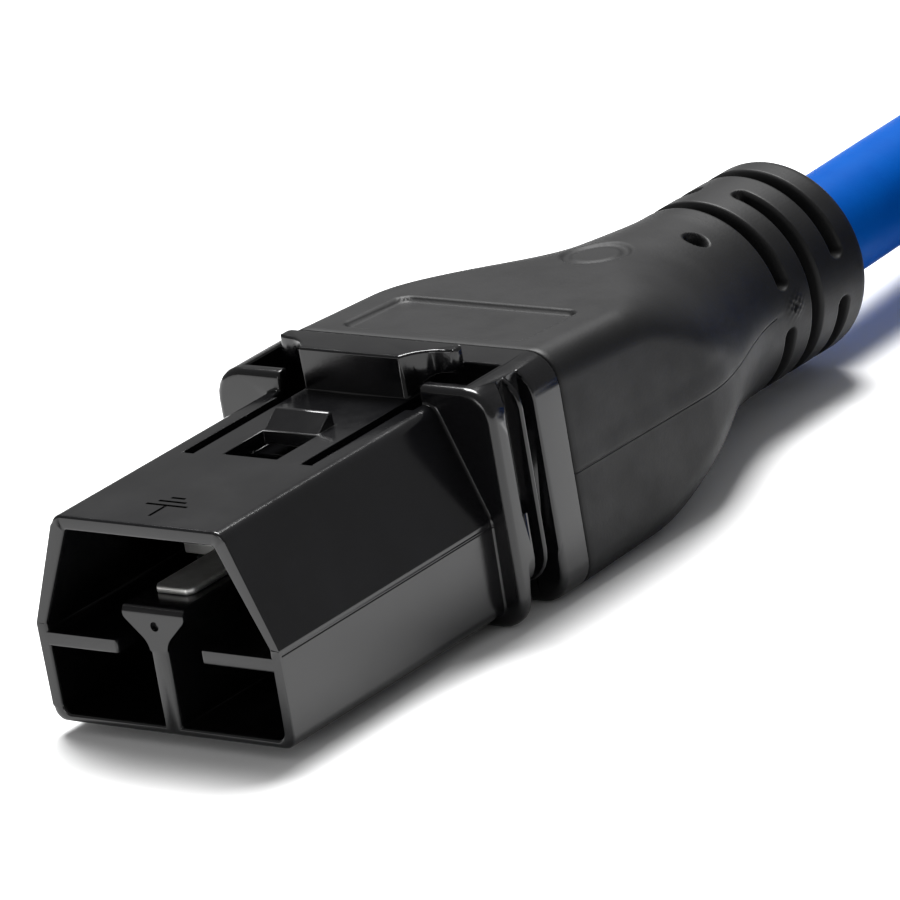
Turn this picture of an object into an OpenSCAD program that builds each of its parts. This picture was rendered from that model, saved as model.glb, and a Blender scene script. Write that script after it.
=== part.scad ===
// Genderless three-pole power connector, moulded on the end of a round cable.
// Every module is drawn in the connector's own coordinates: Y = 0 is the mating
// face, +Y runs towards the cable, Z = 0 is the underside of the nose and X = 0
// is the plane of symmetry. in_frame() then stands the connector on Z = 0 with
// its length centred on Y = 0.

/* [Nose] */
// Width of the nose across its two side ridges
nose_w = 22; // [20:0.5:26]
// Width of the nose's top face
nose_top_w = 15.2; // [13:0.2:17]
// Width of the nose's underside
nose_bottom_w = 21.8; // [18:0.2:22]
// Height of the nose
nose_h = 15.9; // [14:0.1:19]
// Height of the side ridges above the underside
ridge_h = 7.4; // [6.6:0.1:8.4]
// Length of the nose in front of the collar
nose_l = 24.7; // [22:0.1:30]
// Thickness of the nose's top wall
wall_top = 1.1; // [0.8:0.05:1.4]
// Thickness of the slanted walls above the ridges
wall_upper = 1.35; // [0.8:0.05:1.6]
// Thickness of the walls below the ridges
wall_lower = 0.9; // [0.7:0.05:1.2]
// Thickness of the nose's bottom wall
wall_bottom = 0.6; // [0.5:0.05:1.2]
// Outer radius of the nose's top and bottom corners
nose_corner_r = 1.0; // [0.4:0.1:1.6]

/* [Inside the nose] */
// Depth of the open chambers behind the mating face
chamber_l = 20; // [16:0.5:21]
// Thickness of the partition behind the chambers
partition_t = 2; // [1.5:0.1:2.5]
// Height of the half shelves' upper face
shelf_z = 6.8; // [6:0.1:7.2]
// Thickness of the half shelves
shelf_t = 1.1; // [0.8:0.1:1.4]
// Distance from the middle to the inner end of each half shelf
shelf_inner_x = 3.8; // [3.2:0.1:4.6]
// Thickness of the upright centre rib
rib_t = 1.55; // [1.2:0.05:2]
// Width of the head on top of the centre rib
head_w = 5.5; // [4.8:0.1:6.4]
// Height of the head's upper face
head_z = 9.65; // [9.2:0.05:10]
// Radius of the rib head's front edge
head_lip_r = 0.65; // [0.3:0.05:0.8]

/* [Latch] */
// Width of the flexible tongue cut from the top wall
tongue_w = 9.7; // [8.4:0.1:10.4]
// Width of the slot along each side of the tongue
slot_w = 1.0; // [0.8:0.05:1.2]
// Where the slots start behind the mating face
slot_y = 12.7; // [11:0.1:14]
// Width of the catch hole in the tongue
catch_w = 4.9; // [4:0.1:5.6]
// Where the catch hole starts behind the mating face
catch_y = 13.1; // [12.8:0.1:14.5]
// Length of the catch hole
catch_l = 4.5; // [4:0.1:5]
// Length of the latching wedge behind the hole
wedge_l = 2.0; // [1.5:0.1:2.4]
// Height of the latching wedge
wedge_h = 1.1; // [0.8:0.1:1.4]
// Downward travel left free under the tongue
latch_travel = 1.8; // [1.2:0.1:2]
// Width of the thumb pad's front face
pad_w = 8.8; // [8:0.1:9.6]
// Width of the thumb pad across its two ears
pad_ear_w = 16.1; // [14.1:0.2:17.1]
// Height of the thumb pad above the tongue
pad_h = 3.25; // [2.6:0.05:4]
// Length of the thumb pad
pad_l = 3.25; // [3:0.05:3.4]
// Thickness of the thumb pad's ears
pad_ear_t = 1.75; // [0.9:0.05:2]

/* [Collar] */
// Width of the collar
collar_w = 25.3; // [25:0.1:30]
// Height of the collar's top above the nose's top face
collar_rise = 1.4; // [1.2:0.1:2]
// Depth of the collar's bottom below the nose's underside
collar_drop = 0.95; // [0.8:0.05:2]
// Corner radius of the collar's plates
collar_r = 2.5; // [1.8:0.1:3]
// Thickness of the front flange
flange_t = 1.1; // [1:0.1:1.3]
// Radius along the front edges of the collar's plates
edge_r = 0.55; // [0.3:0.05:0.7]
// Distance from the collar's front to its rear plate
waist_l = 4.95; // [4.8:0.05:6]
// Thickness of the rear plate
rear_plate_t = 3.15; // [2.5:0.05:4]
// How far the waist's underside lies above the nose's underside
waist_lift = 1.3; // [0.8:0.1:1.8]
// Width of the front side groove
groove_a_w = 1.8; // [1.4:0.1:2]
// Thickness of the thin rib between the two side grooves
fin_t = 0.45; // [0.4:0.05:0.7]
// Width of the rear side groove
groove_b_w = 1.25; // [1:0.05:1.4]
// Depth of the side grooves
groove_d = 1.3; // [0.8:0.1:1.6]
// Half width of the notch that the tongue passes through
notch_half_w = 6.4; // [6.3:0.1:7]
// Width of the pocket under the thumb pad
pocket_w = 20.2; // [18:0.2:21]

/* [Overmould] */
// Length of the overmoulded grip and strain relief
overmould_l = 44.4; // [40:0.2:60]
// Radius of the round strain relief
boot_r = 7.8; // [7.5:0.1:9]
// Height of the cable's axis above the nose's underside
axis_z = 7.65; // [7.2:0.05:8.2]
// Length of the boxy part of the grip
grip_l = 16.2; // [14:0.2:20]
// Length over which the grip narrows to the strain relief
shoulder_l = 17.5; // [14:0.5:20]
// Length of the straight round part of the strain relief
boot_l = 15.2; // [14.5:0.1:20]
// Width of each strain relief slot
boot_slot_w = 1.1; // [0.8:0.1:1.8]
// Depth of each strain relief slot
boot_slot_d = 2.0; // [1:0.1:2.4]
// Spacing of the slot rows
boot_slot_pitch = 3.55; // [3:0.05:4]
// Width of the bridges between two slots in a row
boot_bridge_w = 3.4; // [2.6:0.2:5]
// Width of the recessed label field
label_w = 16.2; // [12:0.2:18]
// Length of the recessed label field
label_l = 7.4; // [6:0.2:9]
// Depth of the recessed label field
label_d = 0.35; // [0.2:0.05:0.5]

/* [Contacts] */
// Width of the flat earth contact
earth_w = 3.5; // [3:0.1:4]
// Thickness of the earth contact
earth_t = 0.5; // [0.4:0.05:0.6]
// How far the earth contact's tip lies behind the mating face
earth_setback = 2.4; // [1.5:0.1:4]
// Width of each power contact
power_w = 3.8; // [3.2:0.1:4]
// Thickness of each power contact
power_t = 0.8; // [0.6:0.05:1]
// How far the power contacts' tips lie behind the mating face
power_setback = 13; // [10:0.5:14]
// Distance from the middle to each power contact's centre line
power_x = 6.2; // [6:0.1:6.4]
// Height of the leaf spring's bow under each power contact
spring_h = 1.1; // [0.9:0.05:1.3]
// Thickness of the leaf spring's steel
spring_t = 0.25; // [0.2:0.05:0.3]
// Wall thickness of the crimp barrels
barrel_t = 0.45; // [0.3:0.05:0.5]
// Length of the crimp barrels
barrel_l = 6; // [5:0.5:7]

/* [Cable] */
// Outside diameter of the cable
cable_d = 8.5; // [7.5:0.1:9.5]
// Diameter of each insulated core
core_d = 2.9; // [2.4:0.1:3]
// Diameter of each core's copper strands
strand_d = 1.7; // [1.4:0.1:2]
// How far the jacket reaches back into the overmould
jacket_grip = 24; // [18:1:26]
// Length of each stripped core at the cable's free end
tail_core_l = 35; // [20:1:50]
// Length of bare strands at each stripped core's tip
tail_strand_l = 7; // [5:0.5:10]
// Width of the ties round the coiled cable
tie_w = 12; // [8:1:20]
// Thickness of the ties round the coiled cable
tie_t = 1.2; // [0.8:0.1:1.2]

/* [Hidden] */
$fn = 48;

// Earth sign: where its stem starts, stem length, line width and depth
sign_y = 1.55;
sign_l = 1.85;
sign_t = 0.28;
sign_d = 0.12;
// Running clearance between pieces that fill one another
fit_gap = 0.05;
// Overshoot of a cut past the face that it opens
over = 1;

collar_top = nose_h + collar_rise;
collar_y1 = nose_l + waist_l;
collar_y2 = collar_y1 + rear_plate_t;
total_l = collar_y2 + overmould_l;
boot_y = total_l - boot_l;
// From the boot's end to the middle of its last slot row
boot_end_l = 3.45;
tongue_room_z = nose_h - wall_top - latch_travel;
bay_half_w = 8.8;
bay_bottom = 1.9;
bay_top = tongue_room_z - 0.9;
pad_y = nose_l + 0.6;
pocket_y2 = collar_y1 + 0.1;
barrel_bore = strand_d / 2 + fit_gap;
barrel_r = barrel_bore + barrel_t;
barrel_y = chamber_l + partition_t + 1.2;
core_y = barrel_y + barrel_l + 0.1;
bundle_y = total_l - jacket_grip;
bundle_r = core_d / sqrt(3) + fit_gap;
plug_y = core_y + 0.9;
// Solid overmould left between the inner mould and the jacket
bundle_wall = 3;
plug_end = bundle_y - bundle_wall;

module in_frame() {
    translate([0, -total_l / 2, collar_drop]) children();
}

// Straight extrusion of an (x, z) outline from y0 to y1.
module along_y(y0, y1) {
    translate([0, y1, 0]) rotate([90, 0, 0]) linear_extrude(y1 - y0) children();
}

// Revolution of an (r, y) outline round an axis that runs along +Y.
module round_y(x, z) {
    translate([x, 0, z]) rotate([-90, 0, 0]) rotate_extrude() children();
}

// An outline's corners, each turned into an arc of its own radius.
function corner_arc(a, b, c, r, n) =
    let (u = (a - b) / norm(a - b), v = (c - b) / norm(c - b))
    let (half = acos(max(-1, min(1, u * v))) / 2)
    r <= 0 ? [b] :
    let (mid = (u + v) / norm(u + v), centre = b + mid * r / sin(half))
    let (p = b + u * r / tan(half), q = b + v * r / tan(half))
    let (a0 = atan2(p[1] - centre[1], p[0] - centre[0]))
    let (a1 = atan2(q[1] - centre[1], q[0] - centre[0]))
    let (turn = a1 - a0 > 180 ? a1 - a0 - 360 : a1 - a0 < -180 ? a1 - a0 + 360 : a1 - a0)
    [for (k = [0 : n]) centre + r * [cos(a0 + turn * k / n), sin(a0 + turn * k / n)]];
function rounded(points, radii, n = 6) =
    let (m = len(points))
    [for (i = [0 : m - 1])
        each corner_arc(points[(i + m - 1) % m], points[i], points[(i + 1) % m], radii[i], n)];

// A rounded rectangle between z0 and z1, with one radius below and one above.
function plate_outline(half_w, z0, z1, r_low, r_high, n = 6) =
    rounded([[-half_w, z0], [half_w, z0], [half_w, z1], [-half_w, z1]],
            [r_low, r_low, r_high, r_high], n);

// A solid through a list of rings, each with the same number of points.
module loft(rings) {
    n = len(rings[0]);
    m = len(rings);
    polyhedron(
        points = [for (ring = rings) each ring],
        faces = concat(
            [[for (j = [n - 1 : -1 : 0]) j]],
            [[for (j = [0 : n - 1]) (m - 1) * n + j]],
            [for (i = [0 : m - 2]) for (j = [0 : n - 1])
                [i * n + j, i * n + (j + 1) % n, (i + 1) * n + (j + 1) % n, (i + 1) * n + j]]));
}

function at_y(outline, y) = [for (p = outline) [p[0], y, p[1]]];

// A tube swept along a list of points, starting square to +Y.
module tube(points, d, sides = 10, first = [0, 1, 0]) {
    m = len(points);
    function tangent(i) = let (v = points[min(m - 1, i + 1)] - points[max(0, i - 1)]) v / norm(v);
    rings = [for (i = [0 : m - 1])
        let (t = i == 0 ? first : tangent(i), side = cross(t, [0, 0, 1]) / norm(cross(t, [0, 0, 1])), up = cross(side, t))
        [for (k = [0 : sides - 1]) points[i] + d / 2 * (side * cos(360 * k / sides) + up * sin(360 * k / sides))]];
    loft(rings);
}
// A plate whose front edge is rounded: each ring draws in by what the arc leaves.
function plate_ring(half_w, z0, z1, r, y, inset) =
    at_y(plate_outline(half_w - inset, z0 + inset, z1 - inset, r - inset, r - inset), y);
module edged_plate(half_w, z0, z1, r, y0, y1) {
    loft(concat(
        [for (a = [0 : 22.5 : 90])
            plate_ring(half_w, z0, z1, r, y0 + edge_r * (1 - cos(a)), edge_r * (1 - sin(a)))],
        [plate_ring(half_w, z0, z1, r, y1, 0)]));
}

// Nose: the hexagonal shell, seen from the front, and the room inside it.
function nose_points(side, below, above, upper) =
    let (slope = (nose_w - nose_top_w) / 2 / (nose_h - ridge_h))
    let (flare = (nose_w - nose_bottom_w) / 2 / ridge_h)
    let (z_top = nose_h - above, z_low = below)
    let (x_mid = nose_w / 2 - side, x_top = nose_top_w / 2 - upper + slope * above)
    [[-(nose_bottom_w / 2 - side + flare * z_low), z_low],
     [nose_bottom_w / 2 - side + flare * z_low, z_low],
     [x_mid, ridge_h], [x_top, z_top], [-x_top, z_top], [-x_mid, ridge_h]];
module nose_outline() {
    r = nose_corner_r;
    polygon(rounded(nose_points(0, 0, 0, 0), [r, r, 0.4, r, r, 0.4]));
}
module nose_room() {
    r = nose_corner_r - wall_bottom / 2;
    polygon(rounded(nose_points(wall_lower, wall_bottom, wall_top, wall_upper), [r, r, 0.2, 0.2, 0.2, 0.2]));
}

// Half shelves at the sides, and the centre rib with its flared head.
module chamber_walls() {
    for (side = [-1, 1]) {
        mirror([side < 0 ? 1 : 0, 0, 0])
            polygon([[shelf_inner_x, shelf_z - shelf_t], [nose_w / 2 - wall_lower / 2, shelf_z - shelf_t],
                     [nose_w / 2 - wall_lower / 2, shelf_z], [shelf_inner_x, shelf_z]]);
    }
    neck_z = head_z - (head_w - rib_t) / 2 - 0.8;
    polygon(rounded(
        [[-rib_t / 2, wall_bottom / 2], [rib_t / 2, wall_bottom / 2], [rib_t / 2, neck_z],
         [head_w / 2, head_z - 0.9], [head_w / 2, head_z], [-head_w / 2, head_z],
         [-head_w / 2, head_z - 0.9], [-rib_t / 2, neck_z]],
        [0, 0, 1.6, 0.5, 0.2, 0.2, 0.5, 1.6]));
}

// The rib head's front edge is rounded over, and a round dimple marks its face.
module head_lip() {
    r = head_lip_r;
    difference() {
        translate([-head_w, -over, head_z - r]) cube([2 * head_w, r + over, r + over]);
        translate([-head_w - over, r, head_z - r]) rotate([0, 90, 0]) cylinder(h = 2 * (head_w + over), r = r);
    }
    along_y(-over, 0.3) translate([0, head_z - 1.47]) circle(r = 0.36);
}

// Sunk earth sign on the nose's top: a stem and three bars.
module earth_sign() {
    translate([-sign_t / 2, sign_y, nose_h - sign_d]) cube([sign_t, sign_l, over]);
    for (k = [0 : 2])
        let (half = sign_l * (1 - 0.33 * k))
        translate([-half, sign_y + sign_l + 0.67 * k, nose_h - sign_d]) cube([2 * half, sign_t, over]);
}

module tongue_slots() {
    for (side = [-1, 1])
        translate([side < 0 ? -tongue_w / 2 - slot_w : tongue_w / 2, slot_y, tongue_room_z])
            cube([slot_w, nose_l - slot_y + flange_t + over, nose_h]);
    translate([-catch_w / 2, catch_y, tongue_room_z]) cube([catch_w, catch_l, nose_h]);
}

// The tongue's latching wedge rises towards the collar and ends in a steep face.
module wedge() {
    y0 = catch_y + catch_l + 0.15;
    half = catch_w / 2;
    translate([-half, 0, 0]) rotate([90, 0, 90]) linear_extrude(catch_w)
        polygon([[y0, nose_h - 0.1], [y0 + wedge_l, nose_h - 0.1], [y0 + wedge_l - 0.1, nose_h + wedge_h],
                 [y0 + wedge_l - 0.4, nose_h + wedge_h], [y0, nose_h]]);
}

// Thumb pad: one outline seen from the front, with ears that flare out over the
// collar, cut to a second outline seen from above.
module thumb_pad() {
    top = nose_h + pad_h;
    ear = pad_ear_w / 2;
    foot = pad_w / 2;
    low = top - pad_ear_t;
    sweep = 2.7;
    under = [for (a = [165 : -15 : 90]) [foot + sweep + sweep * cos(a), low - sweep + sweep * sin(a)]];
    front = concat([[foot, nose_h - wall_top]], under,
                   [[ear - 0.3, low], [ear, low + 0.3], [ear, top - 0.2], [ear - 0.2, top]]);
    flank = [for (a = [160 : -10 : 90]) [foot + sweep + sweep * cos(a), sweep * (sin(a) - sin(160))]];
    half = concat([[foot, 0]], flank, [[ear - 0.3, 1.95], [ear, 2.3], [ear, pad_l - 0.35], [ear - 0.35, pad_l]]);
    flip = function (list) [for (i = [len(list) - 1 : -1 : 0]) [-list[i][0], list[i][1]]];
    intersection() {
        along_y(pad_y, pad_y + pad_l) polygon(concat(front, flip(front)));
        translate([0, pad_y, nose_h - wall_top]) linear_extrude(pad_h + wall_top)
            polygon(concat(half, flip(half)));
    }
}

module tongue() {
    intersection() {
        along_y(slot_y - over, pad_y + pad_l) nose_outline();
        translate([-tongue_w / 2, 0, nose_h - wall_top])
            cube([tongue_w, total_l, wall_top]);
    }
}

// Free space that lets the tongue bend down over the partition.
module tongue_room() {
    half = tongue_w / 2 + slot_w;
    translate([-half, chamber_l - over, tongue_room_z])
        cube([2 * half, nose_l - chamber_l + over, nose_h]);
}

// Waist between the flange and the rear plate: grooves run down both sides and
// round the bottom corners, with a thin fin between them.
module waist_outline(inset, z_top) {
    polygon(plate_outline(collar_w / 2 - inset, waist_lift + inset, z_top,
                          collar_r + 0.2 - inset / 2, 0.01));
}
module groove_band(y, w, z0, z1) {
    along_y(y, y + w) translate([-collar_w, z0]) square([2 * collar_w, z1 - z0]);
}
module side_groove(y, w, z0, z1) {
    difference() {
        groove_band(y, w, z0, z1);
        along_y(y - over, y + w + over) waist_outline(groove_d, collar_top + 2 * over);
    }
}
// A groove whose front wall curves in: each ring gives how far along and how deep.
module side_scoop(y, w, z0, z1) {
    difference() {
        groove_band(y, w, z0, z1);
        loft([for (s = [[-1, 0.02], [0, 0.02], [0.14, 0.1], [0.3, 0.35], [0.45, 0.68], [0.57, 0.92], [0.66, 1],
                        [2, 1]])
            let (inset = s[1] * groove_d)
            at_y(plate_outline(collar_w / 2 - inset, waist_lift + inset, collar_top + 2 * over,
                               collar_r + 0.2 - inset / 2, 0.01), y + s[0] * w)]);
    }
}
module collar_body() {
    half = collar_w / 2;
    groove_b_y = collar_y1 - groove_b_w;
    groove_a_y = groove_b_y - fin_t - groove_a_w;
    low = -collar_drop - over;
    open = collar_top + over;
    set_back = 0.42 * groove_a_w;
    edged_plate(half, -collar_drop, collar_top, collar_r, nose_l, nose_l + flange_t);
    difference() {
        along_y(nose_l + flange_t / 2, collar_y1 + edge_r)
            polygon(plate_outline(half, waist_lift, collar_top, collar_r + 0.2, collar_r));
        side_scoop(groove_a_y, groove_a_w, ridge_h, open);
        side_groove(groove_a_y + set_back, groove_a_w - set_back, low, ridge_h + fit_gap);
        side_groove(groove_b_y, groove_b_w, low, open);
    }
    edged_plate(half, -collar_drop, collar_top, collar_r, collar_y1, collar_y2);
}

module latch_pocket() {
    translate([-notch_half_w, nose_l - over, tongue_room_z])
        cube([2 * notch_half_w, pocket_y2 - nose_l + over, collar_top]);
    translate([-pocket_w / 2, nose_l + flange_t, tongue_room_z])
        cube([pocket_w, pocket_y2 - nose_l - flange_t, collar_top]);
}

// Holes in the partition that the three contacts pass through.
module contact_holes() {
    y0 = chamber_l - over;
    len_y = partition_t + 2 * over;
    translate([-earth_w / 2 - fit_gap, y0, head_z - over])
        cube([earth_w + 2 * fit_gap, len_y, earth_t + fit_gap + over]);
    for (side = [-1, 1])
        translate([side * power_x - power_w / 2 - fit_gap, y0, shelf_z])
            cube([power_w + 2 * fit_gap, len_y, spring_h + power_t + fit_gap]);
}

module rear_bay() {
    along_y(chamber_l + partition_t, collar_y2 + over)
        polygon(plate_outline(bay_half_w, bay_bottom, bay_top, 1, 1));
}

module housing() {
    color("#1c1c1e") in_frame() {
        difference() {
            union() {
                along_y(0, nose_l + flange_t) nose_outline();
                collar_body();
            }
            difference() {
                along_y(-over, chamber_l) nose_room();
                along_y(-2 * over, chamber_l + over) chamber_walls();
            }
            head_lip();
            earth_sign();
            contact_holes();
            rear_bay();
            tongue_slots();
            tongue_room();
            latch_pocket();
        }
        difference() {
            tongue();
            tongue_slots();
        }
        wedge();
        thumb_pad();
    }
}

// Grip and strain relief. The outline at each station is a rectangle with
// elliptical corners: small corners at the collar grow until they meet in a
// full round, while the sides draw in along an S curve.
function smooth(t) = let (c = max(0, min(1, t))) c * c * (3 - 2 * c);
function grip_half_w(y) =
    boot_r + (collar_w / 2 - boot_r) * (1 - smooth((y - collar_y2 - grip_l) / shoulder_l));
function grip_top(y) =
    let (t = min(1, (y - collar_y2) / (boot_y - collar_y2 + 2)))
    collar_top + (axis_z + boot_r - collar_top) * t;
function grip_bottom(y) =
    let (t = min(1, (y - collar_y2) / (boot_y - collar_y2 + 2)))
    -collar_drop + (axis_z - boot_r + collar_drop) * t;
function grip_ring(y, inset, n = 8) =
    let (w = grip_half_w(y) - inset, h = (grip_top(y) - grip_bottom(y)) / 2 - inset)
    let (mid = (grip_top(y) + grip_bottom(y)) / 2)
    let (s = smooth((y - collar_y2 - grip_l * 0.57) / (grip_l)))
    let (rx = collar_r + (w - collar_r) * s, rz = collar_r + (h - collar_r) * s)
    [for (q = [0 : 3]) let (sx = q == 0 || q == 3 ? 1 : -1, sz = q < 2 ? 1 : -1)
        for (k = [0 : n]) let (a = q * 90 + 90 * (k + (k == 0 ? 0.002 : k == n ? -0.002 : 0)) / n)
            [sx * (w - rx) + rx * cos(a), y, mid + sz * (h - rz) + rz * sin(a)]];
module grip() {
    stations = 16;
    y_end = boot_y + 2.5;
    loft(concat(
        [grip_ring(collar_y2, 0.15), grip_ring(collar_y2 + 0.2, 0), grip_ring(collar_y2 + grip_l * 0.57, 0)],
        [for (k = [1 : stations])
            let (y = collar_y2 + grip_l * 0.57 + (y_end - collar_y2 - grip_l * 0.57) * k / stations)
            grip_ring(y, 0.02 * k / stations)]));
}
module boot() {
    end_r = 1.1;
    round_y(0, axis_z)
        polygon(concat([[0, boot_y], [boot_r, boot_y]],
                       [for (a = [0 : 18 : 90])
                           [boot_r - end_r + end_r * cos(a), total_l - end_r + end_r * sin(a)]],
                       [[0, total_l]]));
}

// Three rows of flex slots: the outer two have bridges at the sides, the middle
// one has them above and below.
module boot_slots() {
    for (row = [0 : 2]) {
        y = total_l - boot_end_l - boot_slot_pitch * row;
        difference() {
            round_y(0, axis_z) polygon([[boot_r - boot_slot_d, y - boot_slot_w / 2], [boot_r + over, y - boot_slot_w / 2],
                                        [boot_r + over, y + boot_slot_w / 2], [boot_r - boot_slot_d, y + boot_slot_w / 2]]);
            bridge = boot_bridge_w;
            span = 2 * boot_r + 4 * over;
            if (row == 1) translate([-bridge / 2, y - boot_slot_w, axis_z - span / 2]) cube([bridge, 2 * boot_slot_w, span]);
            else translate([-span / 2, y - boot_slot_w, axis_z - bridge / 2]) cube([span, 2 * boot_slot_w, bridge]);
        }
    }
}

// Mark of the pin that held the cores while the grip was moulded.
module pin_hole() {
    r = 0.75;
    translate([boot_r / 2, boot_y - 0.2, grip_top(boot_y) - 2.3]) cylinder(h = collar_top, r = r);
}

// Recessed field for a label, left blank, on the grip's top.
module label_field() {
    y0 = collar_y2 + 1.6;
    r = 0.9;
    translate([0, 0, grip_top(y0 + label_l / 2) - label_d]) linear_extrude(collar_top)
        polygon(rounded([[-label_w / 2, y0], [label_w / 2, y0], [label_w / 2, y0 + label_l],
                         [-label_w / 2, y0 + label_l]], [0.3, r, r, r]));
}

// Pieces inside the grip. The cores leave the crimps side by side and close up
// into the round bundle that the jacket holds.
function core_start(i) = i == 0 ? [0, core_y, head_z + earth_t / 2]
    : [(i == 1 ? -1 : 1) * power_x, core_y, shelf_z + spring_h + power_t / 2];
function core_end(i, y) = let (a = 90 + 120 * i) [bundle_r * cos(a), y, axis_z + bundle_r * sin(a)];
module rod(a, b, d) {
    v = b - a;
    translate(a) rotate([0, acos(v[2] / norm(v)), atan2(v[1], v[0])]) cylinder(h = norm(v), d = d);
}
module core(i, d, y_end) {
    a = core_start(i);
    c = core_end(i, bundle_y - 1.5);
    bend = [0, 1.5, 0];
    tube([a, a + 2 * bend, a + 3 * bend, c - bend, c, core_end(i, y_end)], d, 12);
}
module core_channels() {
    for (i = [0 : 2]) translate([0, -fit_gap, 0]) core(i, core_d + 2 * fit_gap, total_l - 0.3);
}

module inner_mould_body(gap) {
    along_y(plug_y - gap, collar_y2 + 1)
        polygon(plate_outline(bay_half_w + gap - fit_gap, bay_bottom - gap + fit_gap, bay_top + gap - fit_gap,
                              1, 1));
    along_y(collar_y2 - 0.5, plug_end + gap)
        polygon(plate_outline(bay_half_w - 0.6 + gap, axis_z - 4.2 - gap, bay_top + gap - 0.4, 1.4, 1.4));
}
module inner_mould() {
    color("#3a3a3c") in_frame() difference() {
        inner_mould_body(0);
        core_channels();
    }
}
module overmould() {
    color("#26262a") in_frame() difference() {
        union() {
            grip();
            boot();
        }
        boot_slots();
        pin_hole();
        label_field();
        inner_mould_body(fit_gap);
        core_channels();
        along_y(bundle_y - fit_gap, total_l + over) translate([0, axis_z]) circle(d = cable_d + 2 * fit_gap);
    }
}

// A contact: a flat blade with a chamfered tip, a neck and a crimp barrel.
module contact(x, z_mid, w, t, y_tip) {
    neck_y = chamber_l + partition_t + 0.1;
    translate([x, 0, z_mid - t / 2]) linear_extrude(t)
        polygon([[-w / 2 + 0.4, y_tip], [w / 2 - 0.4, y_tip], [w / 2, y_tip + 0.6], [w / 2, neck_y],
                 [barrel_r - 0.3, barrel_y + 0.3], [-barrel_r + 0.3, barrel_y + 0.3], [-w / 2, neck_y],
                 [-w / 2, y_tip + 0.6]]);
    round_y(x, z_mid)
        polygon([[barrel_bore, barrel_y], [barrel_r, barrel_y], [barrel_r, barrel_y + barrel_l],
                 [barrel_bore, barrel_y + barrel_l]]);
}
module contact_at(i) {
    p = core_start(i);
    color("#c9c6be") in_frame()
        contact(p[0], p[2], i == 0 ? earth_w : power_w, i == 0 ? earth_t : power_t,
                i == 0 ? earth_setback : power_setback);
}
module earth_contact() { contact_at(0); }
module power_contact_left() { contact_at(1); }
module power_contact_right() { contact_at(2); }

// Leaf spring bowed between a half shelf and the power contact above it.
module leaf_spring(side) {
    y0 = power_setback + 1.2;
    y1 = chamber_l - 0.4;
    mid = (y0 + y1) / 2;
    t = spring_t;
    rise = spring_h - t - 2 * fit_gap;
    bow = [for (k = [0 : 8]) let (u = k / 8) [y0 + (y1 - y0) * u, shelf_z + fit_gap + rise * (1 - pow(2 * u - 1, 2))]];
    back = [for (k = [8 : -1 : 0]) [bow[k][0], bow[k][1] + t]];
    color("#9a9da0") in_frame() translate([side * power_x - power_w / 2 + 0.3, 0, 0])
        rotate([90, 0, 90]) linear_extrude(power_w - 0.6) polygon(concat(bow, back));
}
module spring_left() { leaf_spring(-1); }
module spring_right() { leaf_spring(1); }

module strands(i) {
    p = core_start(i);
    color("#b5683a") in_frame() round_y(p[0], p[2])
        polygon([[0, barrel_y + 0.4], [strand_d / 2, barrel_y + 0.4], [strand_d / 2, core_y], [0, core_y]]);
}
module earth_strands() { strands(0); }
module left_strands() { strands(1); }
module right_strands() { strands(2); }

core_colours = ["#3f8f3a", "#2f5fae", "#5b3a22"];
module core_at(i) {
    color(core_colours[i]) in_frame() core(i, core_d, total_l - 0.3);
}
module earth_core() { core_at(0); }
module left_core() { core_at(1); }
module right_core() { core_at(2); }

module cable_jacket() {
    bore = bundle_r + core_d / 2 + fit_gap;
    color("#00509f") in_frame() difference() {
        along_y(bundle_y, total_l) translate([0, axis_z]) circle(d = cable_d);
        along_y(bundle_y - over, total_l - 0.25) translate([0, axis_z]) circle(r = bore);
    }
}

// The free cable. The run leaves the strain relief and sinks to the coil. The tail
// slides off the coil's upper layer, lies round its outside, and ends in three
// stripped cores. Points are in the part's own frame.
run_points = [[0, 38.6, 8.6], [-0.3, 46, 8.6], [-0.85, 53, 8.5], [-1.6, 60, 8.25], [-2.6, 67, 7.85],
              [-3.8, 74, 7.3], [-5.1, 81, 6.7], [-6.3, 88, 6.15], [-7.1, 94, 5.7], [-7.5, 100, 5.45]];
coil_centre = [44, 100];
coil_mid_r = 43;
coil_turns_wide = 3;
coil_layers = 2;
coil_lift = 1.2;
tail_sink = 9.7;
tail_clear = 8.9;
tail_end = [coil_centre[0] + 5, coil_centre[1] + coil_mid_r + cable_d + tail_clear, cable_d / 2];
function tail_at(u) =
    let (fall = 90 * smooth(u / 48))
    let (r = coil_mid_r + cable_d + tail_clear * sin(fall), z = cable_d / 2 + tail_sink * cos(fall))
    [coil_centre[0] - r * cos(u), coil_centre[1] + r * sin(u), z];
tail_points = concat([for (u = [0 : 6 : 90]) tail_at(u)], [tail_end]);

module coil_solid() {
    half = coil_turns_wide * cable_d / 2;
    translate([coil_centre[0], coil_centre[1], coil_lift])
        rotate_extrude($fn = 360) translate([coil_mid_r - half, 0]) square([2 * half, coil_layers * cable_d]);
}
module cable_run() {
    color("#00509f") difference() {
        tube(run_points, cable_d);
        coil_solid();
    }
}
module cable_coil() {
    color("#00509f") coil_solid();
}
module cable_tail() {
    color("#00509f") difference() {
        tube(tail_points, cable_d);
        coil_solid();
    }
}

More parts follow.
